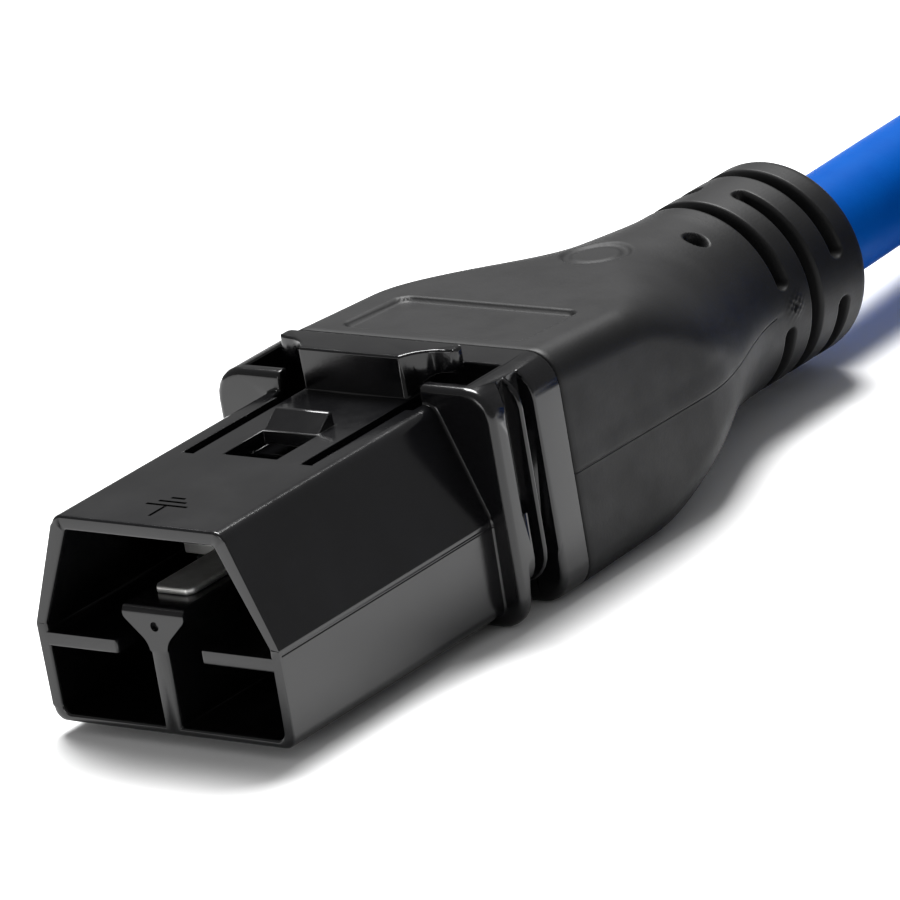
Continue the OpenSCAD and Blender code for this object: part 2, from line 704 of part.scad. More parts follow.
// A band round the coil's section, standing on the floor under the turns.
module coil_tie(angle) {
    half = coil_turns_wide * cable_d / 2;
    turn = 360 * tie_w / (2 * PI * coil_mid_r);
    color("#2b2b2b") translate([coil_centre[0], coil_centre[1], coil_lift - tie_t])
        rotate([0, 0, angle]) rotate_extrude(angle = turn, $fn = 96) translate([coil_mid_r - half, 0])
            difference() {
                translate([-tie_t, 0]) square([2 * half + 2 * tie_t, coil_layers * cable_d + 2 * tie_t]);
                translate([-fit_gap, tie_t - fit_gap])
                    square([2 * half + 2 * fit_gap, coil_layers * cable_d + 2 * fit_gap]);
            }
}
module coil_tie_left() { coil_tie(-120); }
module coil_tie_right() { coil_tie(60); }

// Stripped cores at the free end: they spread apart and come down to the floor.
tail_straight = 3;
tail_side = [-0.1, -0.26, 0.02];
function tail_start(i) =
    let (a = 90 + 120 * i)
    tail_end + [0, bundle_r * cos(a), bundle_r * sin(a)];
function tail_tip(i) =
    let (drop = (tail_start(i)[2] - core_d / 2 - fit_gap) / (tail_core_l + tail_strand_l - tail_straight))
    let (v = [1, tail_side[i], -drop])
    v / norm(v);
function tail_bend(i) = tail_start(i) + [tail_straight, 0, 0];
function tail_end_of(i) = tail_bend(i) + (tail_core_l - tail_straight) * tail_tip(i);
module tail_core(i) {
    color(core_colours[i]) tube([tail_start(i), tail_bend(i), tail_end_of(i)], core_d, 12, [1, 0, 0]);
}
module tail_strands(i) {
    a = tail_end_of(i);
    color("#b5683a") rod(a, a + tail_strand_l * tail_tip(i), strand_d);
}
module tail_earth_core() { tail_core(0); }
module tail_left_core() { tail_core(1); }
module tail_right_core() { tail_core(2); }
module tail_earth_strands() { tail_strands(0); }
module tail_left_strands() { tail_strands(1); }
module tail_right_strands() { tail_strands(2); }

housing();
inner_mould();
overmould();
earth_contact();
power_contact_left();
power_contact_right();
spring_left();
spring_right();
earth_strands();
left_strands();
right_strands();
earth_core();
left_core();
right_core();
cable_jacket();
cable_run();
cable_coil();
cable_tail();
coil_tie_left();
coil_tie_right();
tail_earth_core();
tail_left_core();
tail_right_core();
tail_earth_strands();
tail_left_strands();
tail_right_strands();
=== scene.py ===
"""Looks of the genderless power connector: materials, the cord, rounded mouldings, light and camera.

Shapes are worked out in millimetres and put into their meshes in metres.
"""
from math import pi, radians

import bmesh
import bpy
import numpy as np
from mathutils import Matrix, Vector


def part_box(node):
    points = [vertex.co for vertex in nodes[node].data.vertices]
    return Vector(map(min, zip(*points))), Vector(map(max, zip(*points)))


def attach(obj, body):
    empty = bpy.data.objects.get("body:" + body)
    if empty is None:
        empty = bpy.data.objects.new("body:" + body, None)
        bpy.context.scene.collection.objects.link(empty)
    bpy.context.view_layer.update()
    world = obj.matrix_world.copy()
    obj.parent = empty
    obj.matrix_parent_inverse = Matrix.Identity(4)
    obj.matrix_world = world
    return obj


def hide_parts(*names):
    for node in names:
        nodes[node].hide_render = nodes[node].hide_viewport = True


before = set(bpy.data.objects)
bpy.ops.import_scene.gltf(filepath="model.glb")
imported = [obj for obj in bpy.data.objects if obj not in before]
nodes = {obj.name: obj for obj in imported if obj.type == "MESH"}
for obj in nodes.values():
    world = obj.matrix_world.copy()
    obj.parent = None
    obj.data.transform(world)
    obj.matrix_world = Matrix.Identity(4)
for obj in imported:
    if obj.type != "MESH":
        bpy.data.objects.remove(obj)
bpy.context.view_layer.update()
MM = 0.001


# ---------------------------------------------------------------- camera

CAMERA_AT = (0.37820, -0.44899, 0.21232)
CAMERA_RIGHT = (0.787177, 0.594934, -0.162499)
CAMERA_UP = (-0.078654, 0.358180, 0.930334)
CAMERA_BACK = (0.611691, -0.719556, 0.328745)

camera_data = bpy.data.cameras.new("camera")
camera_data.sensor_width = 36
camera_data.lens = 341.7
camera_data.clip_start = 0.01
camera_data.clip_end = 20
camera = bpy.data.objects.new("camera", camera_data)
bpy.context.scene.collection.objects.link(camera)
turn = Matrix((CAMERA_RIGHT, CAMERA_UP, CAMERA_BACK)).transposed()
camera.matrix_world = Matrix.Translation(CAMERA_AT) @ turn.to_4x4()
bpy.context.scene.camera = camera


# ---------------------------------------------------------------- materials

def linear(hex_colour):
    """Linear red, green, blue and alpha of an sRGB colour such as "1a2b3c"."""
    parts = [int(hex_colour[i:i + 2], 16) / 255 for i in (0, 2, 4)]
    return tuple(c / 12.92 if c <= 0.04045 else ((c + 0.055) / 1.055) ** 2.4 for c in parts) + (1.0,)


def material(name, **values):
    """A new material, with the named inputs of its shader set."""
    made = bpy.data.materials.new(name)
    made.use_nodes = True
    shader = made.node_tree.nodes["Principled BSDF"]
    for key, value in values.items():
        shader.inputs[key.replace("_", " ")].default_value = value
    return made, made.node_tree, shader


def add(tree, kind, inputs, stops=(), **settings):
    """Adds a node, sets its properties, and links or sets its inputs. The stops of a colour ramp are pairs
    of a position and a hex colour or a grey number."""
    node = tree.nodes.new("ShaderNode" + kind)
    for key, value in settings.items():
        setattr(node, key, value)
    for key, value in inputs.items():
        if isinstance(value, bpy.types.NodeSocket):
            tree.links.new(value, node.inputs[key])
        else:
            node.inputs[key].default_value = value
    for _ in stops[2:]:
        node.color_ramp.elements.new(0.5)
    for number, (at, colour) in enumerate(stops):
        node.color_ramp.elements[number].position = at
        node.color_ramp.elements[number].color = (
            linear(colour) if isinstance(colour, str) else (colour, colour, colour, 1))
    return node


def feed(tree, shader, **sources):
    """Links each source to the shader's input of that name; a pattern may bring stops to grade it by."""
    for key, source in sources.items():
        if isinstance(source, tuple):
            pattern, *stops = source
            source = add(tree, "ValToRGB", {"Fac": pattern}, stops).outputs["Color"]
        tree.links.new(source, shader.inputs[key.replace("_", " ")])


def steps_of(tree, spacing):
    """Object coordinates counted in steps of spacing millimetres along X, Y and Z."""
    where = add(tree, "TexCoord", {}).outputs["Object"]
    scale = tuple(1 / (step * MM) for step in spacing)
    return add(tree, "Mapping", {"Vector": where, "Scale": scale}).outputs["Vector"]


def spots(tree, spacing, detail=3.0, roughness=0.5):
    """Soft random spots, spacing millimetres apart: one number, or one each along X, Y and Z."""
    where = steps_of(tree, spacing if isinstance(spacing, tuple) else (spacing, spacing, spacing))
    return add(tree, "TexNoise", {"Vector": where, "Scale": 1.0, "Detail": detail,
                                  "Roughness": roughness}).outputs["Fac"]


def bands(tree, direction, spacing, **inputs):
    """Waves with their crests spacing millimetres apart along X, Y and Z. Blender's have one for each
    pi / 10 of their coordinate, and for each pi / 5 where they run diagonally."""
    crest = pi / 5 if direction == "DIAGONAL" else pi / 10
    where = steps_of(tree, tuple(step / crest for step in spacing))
    return add(tree, "TexWave", {"Vector": where, "Scale": 1.0, **inputs},
               bands_direction=direction).outputs["Fac"]


def relief(tree, *layers):
    """The normal of a surface that each layer raises in turn, by its pattern, its height in millimetres and
    its strength."""
    below = {}
    for pattern, height, strength in layers:
        inputs = {"Height": pattern, "Distance": height * MM, "Strength": strength, **below}
        below = {"Normal": add(tree, "Bump", inputs).outputs["Normal"]}
    return below["Normal"]


def fine_line(tree, height, level, reach):
    """0 where height, in metres, has the level given in millimetres, and 1 from reach millimetres away. The
    ramp spans 2.5 mm, and its flat bottom is 0.05 mm wide."""
    span = 2.5
    scaled = add(tree, "Math", {0: height, 1: 1 / (span * MM), 2: 0.5 - level / span},
                 operation="MULTIPLY_ADD").outputs["Value"]
    stops = [(0.5 - reach / span, 1.0), (0.49, 0.0), (0.51, 0.0), (0.5 + reach / span, 1.0)]
    return add(tree, "ValToRGB", {"Fac": scaled}, stops).outputs["Color"]


def glossy_thermoplastic():
    """Glossy black thermoplastic from a polished mould: it shines, with a faint haze of handling and flow
    lines along Y. The mould's parting leaves a fine groove along the sides of the nose."""
    made, tree, shader = material("glossy_black_thermoplastic", IOR=1.5, Specular_IOR_Level=0.44)
    axes = add(tree, "SeparateXYZ", {"Vector": steps_of(tree, (1000, 1000, 1000))}).outputs
    line = fine_line(tree, axes["Z"], 7.98, 0.15)
    behind = add(tree, "Math", {0: axes["Y"], 1: -38.4 * MM}, operation="GREATER_THAN").outputs["Value"]
    ahead = add(tree, "Math", {0: axes["Y"], 1: -13.9 * MM}, operation="LESS_THAN").outputs["Value"]
    nose = add(tree, "Math", {0: behind, 1: ahead}, operation="MULTIPLY").outputs["Value"]
    groove = add(tree, "Math", {0: line, 1: nose}, operation="MULTIPLY").outputs["Value"]
    flow = spots(tree, (2.4, 17, 2.4), 2)
    feed(tree, shader,
         Roughness=(spots(tree, 5.6, 4, 0.6), (0.35, 0.13), (0.75, 0.25)),
         Base_Color=(spots(tree, 17, 2), (0.3, "070708"), (0.8, "0d0d0f")),
         Normal=relief(tree, (flow, 0.03, 0.35), (groove, 0.06, 0.9), (spots(tree, 0.19), 0.006, 0.5)))
    return made


def satin_vinyl():
    """Satin black flexible vinyl: the fine pitted skin of an eroded mould spreads the light, and a fine line
    shows along both sides where the mould's halves met, falling by 0.011 along Y up to the boot. The pits
    are drawn 0.28 mm apart, coarser than they are, so that they show."""
    made, tree, shader = material("satin_black_vinyl", IOR=1.5, Specular_IOR_Level=0.22)
    axes = add(tree, "SeparateXYZ", {"Vector": steps_of(tree, (1000, 1000, 1000))}).outputs
    level = add(tree, "Math", {0: axes["Y"], 1: 0.011, 2: axes["Z"]}, operation="MULTIPLY_ADD")
    line = fine_line(tree, level.outputs["Value"], 8.916, 0.11)
    ahead = add(tree, "Math", {0: axes["Y"], 1: 26.2 * MM}, operation="LESS_THAN").outputs["Value"]
    seam = add(tree, "Math", {0: line, 1: ahead}, operation="MULTIPLY").outputs["Value"]
    pits = spots(tree, 0.28, 2, 0.6)
    feed(tree, shader,
         Roughness=(spots(tree, 3.85, 4, 0.6), (0.35, 0.46), (0.75, 0.58)),
         Base_Color=(spots(tree, 11), (0.3, "0a0a0b"), (0.8, "111112")),
         Normal=relief(tree, (pits, 0.02, 0.4), (seam, 0.08, 0.9), (spots(tree, 0.11, 2), 0.01, 0.5)))
    return made


def grey_thermoplastic():
    """Dark grey moulded thermoplastic of the inner mould, matt with a fine grain."""
    made, tree, shader = material("dark_grey_thermoplastic", Roughness=0.55)
    feed(tree, shader,
         Base_Color=(spots(tree, 3.3, 4), (0.3, "343436"), (0.8, "404042")),
         Normal=relief(tree, (spots(tree, 0.33), 0.02, 0.5)))
    return made


def silver_plate():
    """Silver plated copper: pale metal with fine drawing lines along the blade and a slight tarnish."""
    made, tree, shader = material("silver_plated_copper", Metallic=0.75)
    lines = spots(tree, (0.11, 3.85, 0.11), 2)
    feed(tree, shader,
         Base_Color=(spots(tree, 2.4), (0.3, "e8e8e6"), (0.8, "c0bfbb")),
         Roughness=(lines, (0.3, 0.3), (0.8, 0.5)),
         Normal=relief(tree, (lines, 0.01, 0.4)))
    return made


def spring_strip():
    """Rolled stainless spring strip: grey metal with fine rolling lines along Y."""
    made, tree, shader = material("stainless_spring_strip", Metallic=1.0)
    lines = spots(tree, (0.14, 3.3, 0.14), 2)
    feed(tree, shader,
         Base_Color=(lines, (0.3, "8e8f90"), (0.8, "a9aaab")),
         Roughness=(lines, (0.3, 0.3), (0.8, 0.42)))
    return made


def bare_copper():
    """Fine bare copper strands: warm metal, grooved between the twisted wires of a bundle."""
    made, tree, shader = material("bare_copper_strands", Metallic=1.0)
    wires = bands(tree, "DIAGONAL", (0.7, 2.4, 0.7), Distortion=1.5, Detail=1.0)
    feed(tree, shader,
         Base_Color=(spots(tree, 1.1), (0.3, "b4683f"), (0.8, "8a4a2b")),
         Roughness=(wires, (0.1, 0.45), (0.9, 0.28)),
         Normal=relief(tree, (wires, 0.12, 0.8)))
    return made


def vinyl_insulation(name, dark, light, stripe=None):
    """Coloured vinyl insulation of one core, smooth from its extrusion. The earth core has a second colour
    in stripes about 3 mm apart, which shift by one over 21 mm of its length."""
    made, tree, shader = material(name, Roughness=0.4)
    shades = [(0.3, dark), (0.8, light)]
    colour = add(tree, "ValToRGB", {"Fac": spots(tree, 2.0)}, shades).outputs["Color"]
    if stripe:
        waves = bands(tree, "DIAGONAL", (20.944, 2.992, 2.992))
        share = add(tree, "ValToRGB", {"Fac": waves}, [(0.45, 0.0), (0.5, 1.0)]).outputs["Color"]
        colour = add(tree, "Mix", {0: share, 6: colour, 7: linear(stripe)}, data_type="RGBA").outputs[2]
    feed(tree, shader, Base_Color=colour, Normal=relief(tree, (spots(tree, (0.4, 8.3, 0.4), 2), 0.02, 0.4)))
    return made


def blue_vinyl():
    """Blue vinyl cable jacket: a satin skin with the slight unevenness and fine grain of extrusion."""
    made, tree, shader = material("blue_vinyl_jacket", IOR=1.5, Specular_IOR_Level=0.04)
    uneven = spots(tree, 1.1, 2)
    feed(tree, shader,
         Base_Color=(spots(tree, 4.5, 4, 0.6), (0.3, "00428f"), (0.8, "004a98")),
         Roughness=(spots(tree, 3.3), (0.3, 0.42), (0.8, 0.54)),
         Normal=relief(tree, (uneven, 0.03, 0.3), (spots(tree, 0.24, 2), 0.015, 0.5)))
    return made


def hook_strap():
    """Black hook and loop strap: dull, with a weave under short loops. Its threads are drawn 1 mm apart,
    coarser than they are, so that they show."""
    made, tree, shader = material("black_hook_and_loop", Roughness=0.9)
    across = bands(tree, "X", (0.98, 0.98, 0.98), Distortion=1.0)
    along = bands(tree, "Y", (0.98, 0.98, 0.98), Distortion=1.0)
    weave = add(tree, "Math", {0: across, 1: along}, operation="MULTIPLY").outputs["Value"]
    feed(tree, shader,
         Base_Color=(spots(tree, 0.71), (0.3, "141414"), (0.8, "262627")),
         Normal=relief(tree, (weave, 0.2, 0.8)))
    return made


GLOSSY = glossy_thermoplastic()
SATIN = satin_vinyl()
GREY = grey_thermoplastic()
SILVER = silver_plate()
SPRING = spring_strip()
COPPER = bare_copper()
GREEN = vinyl_insulation("green_vinyl_insulation", "1d6b22", "25792a", "d6c32a")
BLUE = vinyl_insulation("blue_vinyl_insulation", "1c4f9e", "235bb0")
BROWN = vinyl_insulation("brown_vinyl_insulation", "4a2a17", "58341e")
JACKET = blue_vinyl()
STRAP = hook_strap()

SHOWN_AS_BUILT = {
    "inner_mould": GREY, "spring_left": SPRING, "spring_right": SPRING, "earth_strands": COPPER,
    "left_strands": COPPER, "right_strands": COPPER, "earth_core": GREEN, "left_core": BLUE,
    "right_core": BROWN, "cable_jacket": JACKET}
for node, finish in SHOWN_AS_BUILT.items():
    nodes[node].data.materials.clear()
    nodes[node].data.materials.append(finish)


# ---------------------------------------------------------------- shapes

def smooth_mesh(name, points, faces, finish):
    """An object of smooth faces over points in millimetres, in one finish."""
    mesh = bpy.data.meshes.new(name)
    mesh.from_pydata((np.asarray(points).reshape(-1, 3) * MM).tolist(), [], faces)
    mesh.polygons.foreach_set("use_smooth", [True] * len(mesh.polygons))
    mesh.materials.append(finish)
    made = bpy.data.objects.new(name, mesh)
    bpy.context.scene.collection.objects.link(made)
    return made


def ring_faces(rings, sides, first=0):
    """Quads between neighbouring rings, whose points are numbered ring by ring from first."""
    ring, k = np.meshgrid(np.arange(rings - 1), np.arange(sides), indexing="ij")
    a = first + ring * sides + k
    b = first + ring * sides + (k + 1) % sides
    return np.stack([a, b, b + sides, a + sides], axis=2).reshape(-1, 4).tolist()


def end_faces(rings, sides, first=0):
    """The two faces that close the first ring and the last."""
    last = first + (rings - 1) * sides
    return [list(range(first, first + sides))[::-1], list(range(last, last + sides))]


def travel(points):
    """How far along a line each of its points lies."""
    return np.concatenate([[0], np.cumsum(np.linalg.norm(np.diff(points, axis=0), axis=1))])


def rounded_path(points, step):
    """Points a step apart along the Catmull-Rom curve through the given ones: between p1 and p2 it is
    0.5 (2 p1 + (p2 - p0) t + (2 p0 - 5 p1 + 4 p2 - p3) t^2 + (3 p1 - p0 - 3 p2 + p3) t^3)."""
    p = np.vstack([2 * points[0] - points[1], points, 2 * points[-1] - points[-2]])
    t = np.linspace(0, 1, 12, endpoint=False)[:, None]
    parts = [0.5 * (2 * b + (c - a) * t + (2 * a - 5 * b + 4 * c - d) * t ** 2
                    + (3 * b - a - 3 * c + d) * t ** 3)
             for a, b, c, d in zip(p, p[1:], p[2:], p[3:])]
    fine = np.vstack(parts + [points[-1:]])
    along = travel(fine)
    at = np.linspace(0, along[-1], max(2, int(along[-1] / step)) + 1)
    return np.column_stack([np.interp(at, along, fine[:, k]) for k in range(3)])


def tube_rings(line, radius, sides):
    """Rings of points round a line: line[i] + radius (cos a side + sin a up), with side level and across
    the line, and up across both."""
    forward = np.gradient(line, axis=0)
    forward /= np.linalg.norm(forward, axis=1)[:, None]
    side = np.cross(forward, (0, 0, 1))
    side /= np.linalg.norm(side, axis=1)[:, None]
    up = np.cross(side, forward)
    angle = np.linspace(0, 2 * pi, sides, endpoint=False)[None, :, None]
    return line[:, None] + radius * (np.cos(angle) * side[:, None] + np.sin(angle) * up[:, None])


def tube(name, line, radius, sides, finish):
    """A tube round a line, closed at both ends."""
    faces = ring_faces(len(line), sides) + end_faces(len(line), sides)
    return smooth_mesh(name, tube_rings(line, radius, sides), faces, finish)


def stands_for(piece, slot, *solids):
    """Puts a piece on the part's body in place of its solids. The slot argument is not used."""
    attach(piece, "root")
    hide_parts(*solids)


def apart(a, b):
    """Least distance between points along two straight edges."""
    t = np.linspace(0, 1, 7)[:, None]
    p = np.array(a.verts[0].co) * (1 - t) + np.array(a.verts[1].co) * t
    q = np.array(b.verts[0].co) * (1 - t) + np.array(b.verts[1].co) * t
    return np.linalg.norm(p[:, None] - q[None], axis=2).min()


def bevel_room(edge, sharp):
    """How wide a sharp edge's bevel may be: 0.42 of the edges that it slides along at its ends, and of the
    distance to the other sharp edges of its two faces."""
    room = 1.0
    for corner in edge.verts:
        here = (edge.other_vert(corner).co - corner.co).normalized()
        for other in corner.link_edges:
            if other is edge:
                continue
            there = (other.other_vert(corner).co - corner.co).normalized()
            if not (other in sharp and here.dot(there) < -0.6):
                room = min(room, other.calc_length())
    for face in edge.link_faces:
        for other in face.edges:
            if other in sharp and not set(other.verts) & set(edge.verts):
                room = min(room, apart(edge, other))
    return 0.42 * room


def within(edge, boxes):
    """Whether an edge lies in one of the boxes, given by their low and high corners in millimetres."""
    return any(all(a * MM <= c <= b * MM for v in edge.verts for a, c, b in zip(low, v.co, high))
               for low, high in boxes)


def drop_folds(mesh):
    """Deletes the slivers that a bevel leaves folded back over their neighbours in one plane, which cover
    nothing by themselves."""
    work = bmesh.new()
    work.from_mesh(mesh)
    bmesh.ops.triangulate(work, faces=[f for f in work.faces if len(f.verts) > 4])
    work.normal_update()
    folded = [f for f in work.faces if any(
        g is not f and f.normal.dot(g.normal) < -0.95 and f.calc_area() <= g.calc_area()
        for e in f.edges for g in e.link_faces)]
    bmesh.ops.delete(work, geom=folded, context="FACES_ONLY")
    work.to_mesh(mesh)
    work.free()


# An edge with less room than this stays sharp.
LEAST_ROOM = 0.03
FLAT_ANGLE = radians(0.6)
SHARP_ANGLE = radians(32)


def softened(node, name, width, finish, slot, plain=()):
    """A copy of a CAD node that stands for it, with each sharp edge rounded by width, in millimetres, or by
    what there is room for. Its flat faces are joined first, up to the plane X = 0, so that no face runs
    round an opening. Small marks inside the plain boxes keep their faces as they are."""
    mesh = nodes[node].data.copy()
    work = bmesh.new()
    work.from_mesh(mesh)
    bmesh.ops.remove_doubles(work, verts=work.verts, dist=2e-6)
    cut = bmesh.ops.bisect_plane(work, geom=work.verts[:] + work.edges[:] + work.faces[:], dist=1e-6,
                                 plane_co=(0, 0, 0), plane_no=(1, 0, 0))["geom_cut"]
    kept = {part for part in cut if isinstance(part, bmesh.types.BMEdge)}
    for edge in kept | {e for e in work.edges if within(e, plain)}:
        edge.seam = True
    bmesh.ops.dissolve_limit(work, angle_limit=FLAT_ANGLE, verts=work.verts, edges=work.edges,
                             delimit={"SEAM"})
    bmesh.ops.triangulate(work, faces=[f for f in work.faces if len(f.verts) > 4], ngon_method="BEAUTY")
    weights = work.edges.layers.float.new("bevel_weight_edge")
    sharp = {e for e in work.edges if len(e.link_faces) == 2 and e.calc_face_angle() > SHARP_ANGLE}
    for edge in sharp:
        room = 0.0 if within(edge, plain) else bevel_room(edge, sharp) / MM
        edge[weights] = min(1.0, room / width) if room > LEAST_ROOM else 0.0
        edge.smooth = edge[weights] > 0
    work.to_mesh(mesh)
    work.free()
    mesh.polygons.foreach_set("use_smooth", [True] * len(mesh.polygons))
    mesh.materials.clear()
    mesh.materials.append(finish)
    made = bpy.data.objects.new(name, mesh)
    bpy.context.scene.collection.objects.link(made)
    bevel = made.modifiers.new("edges", "BEVEL")
    bevel.width = width * MM
    bevel.segments = 2
    bevel.limit_method = "WEIGHT"
    bevel.use_clamp_overlap = False
    rounded = bpy.data.meshes.new_from_object(made.evaluated_get(bpy.context.evaluated_depsgraph_get()))
    made.modifiers.remove(bevel)
    drop_folds(rounded)
    made.data = rounded
    made.modifiers.new("normals", "WEIGHTED_NORMAL").keep_sharp = True
    stands_for(made, slot, node)


def eased(x):
    """3 x^2 - 2 x^3 between 0 and 1."""
    x = np.clip(x, 0, 1)
    return x * x * (3 - 2 * x)


# ---------------------------------------------------------------- cord

# The run's points, from the boot to the coil, and the coil's turns, all along the cable's middle.
CABLE_R = 4.25
CABLE_D = 2 * CABLE_R
RUN = np.array([[0, 38.6, 8.6], [-0.3, 46, 8.6], [-0.85, 53, 8.5], [-1.6, 60, 8.25], [-2.6, 67, 7.85],
                [-3.8, 74, 7.3], [-5.1, 81, 6.7], [-6.3, 88, 6.15], [-7.1, 94, 5.7]])
COIL_CENTRE = (44.0, 100.0)
COIL_R = (51.5, 43.0, 34.5)
LAYERS = (5.45, 13.95)
TURNS = 5
TAIL_SINK = 9.7
TAIL_CLEAR = 8.9
TAIL_END = (49.0, 160.4, 4.25)


def around(degrees, r, z):
    """Points r from the coil's centre, an angle clockwise from the side where the run comes in."""
    angle = np.radians(180 - degrees)
    return np.column_stack([COIL_CENTRE[0] + r * np.cos(angle), COIL_CENTRE[1] + r * np.sin(angle), z])


def coil_points():
    """The coil's centreline, 36 points a turn, clockwise from the run's end: three turns inwards on the
    lower layer, up at the end of the third, and outwards on the upper layer. A turn moves one diameter
    across over its last 65 degrees below, and from 150 to 95 degrees before its end above."""
    degrees = np.linspace(0, TURNS * 360, TURNS * 36 + 1)[:-1]
    r = np.full(len(degrees), COIL_R[0])
    for end, before, width, change in ((360, 65, 65, -CABLE_D), (720, 65, 65, -CABLE_D),
                                       (1440, 150, 55, CABLE_D), (1800, 150, 55, CABLE_D)):
        r += change * eased((degrees - end + before) / width)
    z = LAYERS[0] + (LAYERS[1] - LAYERS[0]) * eased((degrees - 1080 + 110) / 65)
    return around(degrees, r, z)


def tail_points():
    """The tail's centreline: it slides off the upper layer's outer turn and lies round the coil. With
    fall = 90 eased(angle / 48), r = outer turn + 8.9 sin(fall) and z = 4.25 + 9.7 cos(fall)."""
    degrees = np.arange(0, 91, 6.0)
    fall = pi / 2 * eased(degrees / 48)
    r = COIL_R[0] + TAIL_CLEAR * np.sin(fall)
    z = CABLE_R + TAIL_SINK * np.cos(fall)
    return np.vstack([around(degrees, r, z), [TAIL_END]])


cord_line = rounded_path(np.vstack([RUN, coil_points(), tail_points()]), 2.5)
cord = tube("cable", cord_line, CABLE_R, 24, JACKET)
stands_for(cord, "cable_vinyl", "cable_run", "cable_coil", "cable_tail")


# ---------------------------------------------------------------- straps

STRAP_W = 12.0
STRAP_T = 0.6
STRAP_R = CABLE_R + 0.35
STRAP_LIFT = 0.66
COIL_MIDDLE_Z = (LAYERS[0] + LAYERS[1]) / 2


def strap_path(count, upper):
    """Distance out, height and lift of the strap's middle line, count points apart by equal steps. It is a
    band drawn tight round the five cables that it ties, three below and two above at the places upper: in
    each direction a the point is c + 4.6 (cos a, sin a), with c the cable that lies furthest that way. It
    starts on the top, runs once round, and then on over its own start for one radian."""
    cables = np.array([(out * CABLE_D, -CABLE_R) for out in (-1, 0, 1)] + [(out, CABLE_R) for out in upper])
    a = np.linspace(0.001, 2 * pi + 1, 260) + pi / 2
    way = np.column_stack([np.cos(a), np.sin(a)])
    loop = cables[np.argmax(way @ cables.T, axis=1)] + STRAP_R * way
    loop = np.vstack([[[np.mean(upper), CABLE_R + STRAP_R]], loop])
    along = travel(loop)
    last = np.searchsorted(a, 2.5 * pi)
    lap = along[last] + np.linalg.norm(loop[last] - loop[0])
    at = np.linspace(0, along[-1], count)
    lift = STRAP_LIFT * eased((at - lap + 4) / 4)
    return np.interp(at, along, loop[:, 0]), np.interp(at, along, loop[:, 1]), lift


def strap(name, node, middle, upper):
    """A hook and loop strap: a section with round edges follows the strap's path. Point (s, t) lies at
    r = 43 + out and an angle t / r from the strap's middle, so its width keeps to the coil's curve. Its
    faces are quilted by 0.05 sin(2.6 s) sin(2.6 t) mm."""
    out, height, lift = strap_path(240, upper)
    run = np.column_stack([np.gradient(out), np.gradient(height)])
    run /= np.linalg.norm(run, axis=1)[:, None]
    away = np.column_stack([-run[:, 1], run[:, 0]])
    away *= np.sign((away * np.column_stack([out, height])).sum(axis=1))[:, None]
    half_t = STRAP_T / 2
    across = np.linspace(-STRAP_W / 2, STRAP_W / 2, 41)
    past = (np.abs(across) - STRAP_W / 2 + half_t).clip(0)
    edge = half_t * np.sqrt(np.clip(1 - past ** 2 / half_t ** 2, 0.02, 1))
    t = np.concatenate([across, across[::-1]])
    rise = np.concatenate([edge, -edge[::-1]])
    s = np.linspace(0, 100, len(out))[:, None]
    rise = rise[None] + np.sign(rise)[None] * 0.05 * np.sin(2.6 * s) * np.sin(2.6 * t)[None]
    thick = lift[:, None] + rise
    r = COIL_R[1] + out[:, None] + away[:, :1] * thick
    z = COIL_MIDDLE_Z + height[:, None] + away[:, 1:] * thick
    angle = radians(middle) + t[None] / r
    points = np.stack([COIL_CENTRE[0] + r * np.cos(angle), COIL_CENTRE[1] + r * np.sin(angle),
                       np.maximum(z, 0.03)], axis=2)
    faces = ring_faces(len(out), len(t)) + end_faces(len(out), len(t))
    made = smooth_mesh(name, points, faces, STRAP)
    work = bmesh.new()
    work.from_mesh(made.data)
    bmesh.ops.recalc_face_normals(work, faces=work.faces)
    work.to_mesh(made.data)
    work.free()
    stands_for(made, "tie_fabric", node)
    return made


# ---------------------------------------------------------------- stripped far end

CORE_R = 1.45
CORE_OFF = 1.724
CORE_BEND = 3
CORE_L = 32
TIP_SIDE = (-0.1, -0.26, 0.02)
WIRE_R = 0.17
WIRE_SIDES = 6
WIRE_TWIST = 22


